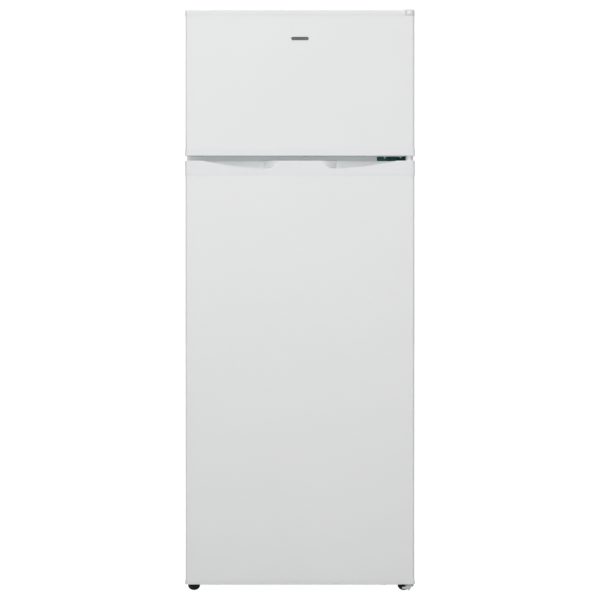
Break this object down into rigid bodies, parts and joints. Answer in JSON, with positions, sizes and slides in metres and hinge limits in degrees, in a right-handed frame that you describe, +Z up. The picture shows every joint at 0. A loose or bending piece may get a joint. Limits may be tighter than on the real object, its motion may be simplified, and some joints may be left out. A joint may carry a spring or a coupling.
{
  "type": "top freezer refrigerator",
  "caption": "Free-standing refrigerator with a small freezer compartment on top: steel body, separate doors hinged on the right, finger grips between them, shelves and drawer inside.",
  "frame": {"origin": "middle of the whole appliance in plan, on the floor", "axes": "+X to the right seen from the front, +Y towards the wall behind, +Z up; the doors face -Y"},
  "size_m": [0.55, 0.57, 1.3995],
  "materials": {
    "white_panel": "satin white enamel",
    "white_cap": "white moulded plastic, semi-gloss",
    "liner_white": "white vacuum-formed plastic, semi-gloss",
    "gasket_grey": "soft light grey vinyl, matte",
    "foam": "matte rigid foam",
    "galvanised_steel": "galvanised sheet, dull",
    "zinc_steel": "zinc plated",
    "teal_steel": "dark green passivated steel, satin",
    "cabinet_strip": "painted sheet, satin",
    "black_enamel": "black enamel, satin",
    "black_plastic": "black plastic, matte",
    "black_rubber": "black, matte",
    "grey_plastic": "grey plastic, matte",
    "aluminium": "rolled sheet",
    "copper": "drawn copper, slightly dulled",
    "clear_glass": "clear tempered glass",
    "bulb_glass": "clear bulb glass",
    "lens_clear": "frosted clear plastic",
    "white_plastic": "white plastic, matte",
    "clear_plastic": "clear polystyrene",
    "white_wire": "white coated wire",
    "badge_silver": "grey, satin"
  },
  "bodies": {
    "cabinet": {"outer_shell": "white_panel", "top_hinge_cover": "white_cap", "fridge_liner": "liner_white", "freezer_liner": "liner_white", "thermostat_housing": "liner_white", "insulation_foam": "foam", "base_pan": "galvanised_steel", "compressor_niche_panel": "galvanised_steel", "back_panel": "galvanised_steel", "compressor_base": "galvanised_steel", "bottom_hinge": "zinc_steel", "cabinet_screws": "zinc_steel", "top_hinge": "zinc_steel", "middle_hinge": "teal_steel", "centre_rail": "cabinet_strip", "compressor": "black_enamel", "condenser_coil": "black_enamel", "condenser_wires": "black_enamel", "start_relay_cover": "black_plastic", "mains_cord_gland": "black_plastic", "condenser_brackets": "black_plastic", "thermostat": "black_plastic", "compressor_grommets": "black_rubber", "drip_tray": "grey_plastic", "drain_tube": "grey_plastic", "freezer_evaporator": "aluminium", "fridge_evaporator": "aluminium", "refrigerant_pipes": "copper", "shelf_glass": "clear_glass", "lamp_bulb": "bulb_glass", "lamp_lens": "lens_clear", "shelf_trims": "white_plastic", "hinge_nose_cap": "white_plastic", "freezer_wire_shelf": "white_wire"},
    "freezer_door": {"freezer_door_panel": "white_panel", "freezer_door_top_cap": "white_cap", "freezer_door_bottom_cap": "white_cap", "freezer_door_liner": "liner_white", "freezer_door_foam": "foam", "freezer_door_gasket": "gasket_grey", "freezer_door_bushings": "white_plastic", "freezer_door_bins": "clear_plastic", "badge": "badge_silver"},
    "fridge_door": {"fridge_door_panel": "white_panel", "fridge_door_top_cap": "white_cap", "fridge_door_bottom_cap": "white_cap", "fridge_door_liner": "liner_white", "fridge_door_foam": "foam", "fridge_door_gasket": "gasket_grey", "fridge_door_bushings": "white_plastic", "fridge_door_bins": "clear_plastic", "bottle_bin": "clear_plastic", "egg_tray": "white_plastic"},
    "crisper": {"crisper_drawer": "clear_plastic"},
    "thermostat_dial": {"thermostat_knob": "white_plastic"},
    "door_switch": {"door_switch_plunger": "white_plastic"},
    "left_foot": {"left_foot": "black_rubber"},
    "right_foot": {"right_foot": "black_rubber"},
    "left_roller": {"left_roller": "grey_plastic"},
    "right_roller": {"right_roller": "grey_plastic"}
  },
  "joints": [
    {"name": "freezer_door_hinge", "type": "hinge", "parent": "cabinet", "child": "freezer_door", "pos_m": [0.2625, -0.271, 1.2], "axis": [0, 0, 1], "range_deg": [0, 135]},
    {"name": "fridge_door_hinge", "type": "hinge", "parent": "cabinet", "child": "fridge_door", "pos_m": [0.2625, -0.271, 0.5], "axis": [0, 0, 1], "range_deg": [0, 135]},
    {"name": "crisper_slide", "type": "slide", "parent": "cabinet", "child": "crisper", "axis": [0, -1, 0], "range_m": [0, 0.16]},
    {"name": "door_switch_travel", "type": "slide", "parent": "cabinet", "child": "door_switch", "axis": [0, -1, 0], "range_m": [0, 0.008]},
    {"name": "thermostat_turn", "type": "hinge", "parent": "cabinet", "child": "thermostat_dial", "pos_m": [-0.05, -0.18, 0.986], "axis": [0, -1, 0], "range_deg": [0, 270]},
    {"name": "left_foot_height", "type": "slide", "parent": "cabinet", "child": "left_foot", "axis": [0, 0, -1], "range_m": [-0.0025, 0.01]},
    {"name": "right_foot_height", "type": "slide", "parent": "cabinet", "child": "right_foot", "axis": [0, 0, -1], "range_m": [-0.0025, 0.01]},
    {"name": "left_roller_spin", "type": "hinge", "parent": "cabinet", "child": "left_roller", "pos_m": [-0.238, 0.23, 0.012], "axis": [1, 0, 0], "continuous": true},
    {"name": "right_roller_spin", "type": "hinge", "parent": "cabinet", "child": "right_roller", "pos_m": [0.238, 0.23, 0.012], "axis": [1, 0, 0], "continuous": true}
  ],
  "couplings": [
    {"joint": "crisper_slide", "follows": "fridge_door_hinge", "m_per_rad": 0.0679},
    {"joint": "door_switch_travel", "follows": "fridge_door_hinge", "m_per_rad": 0.00339}
  ]
}
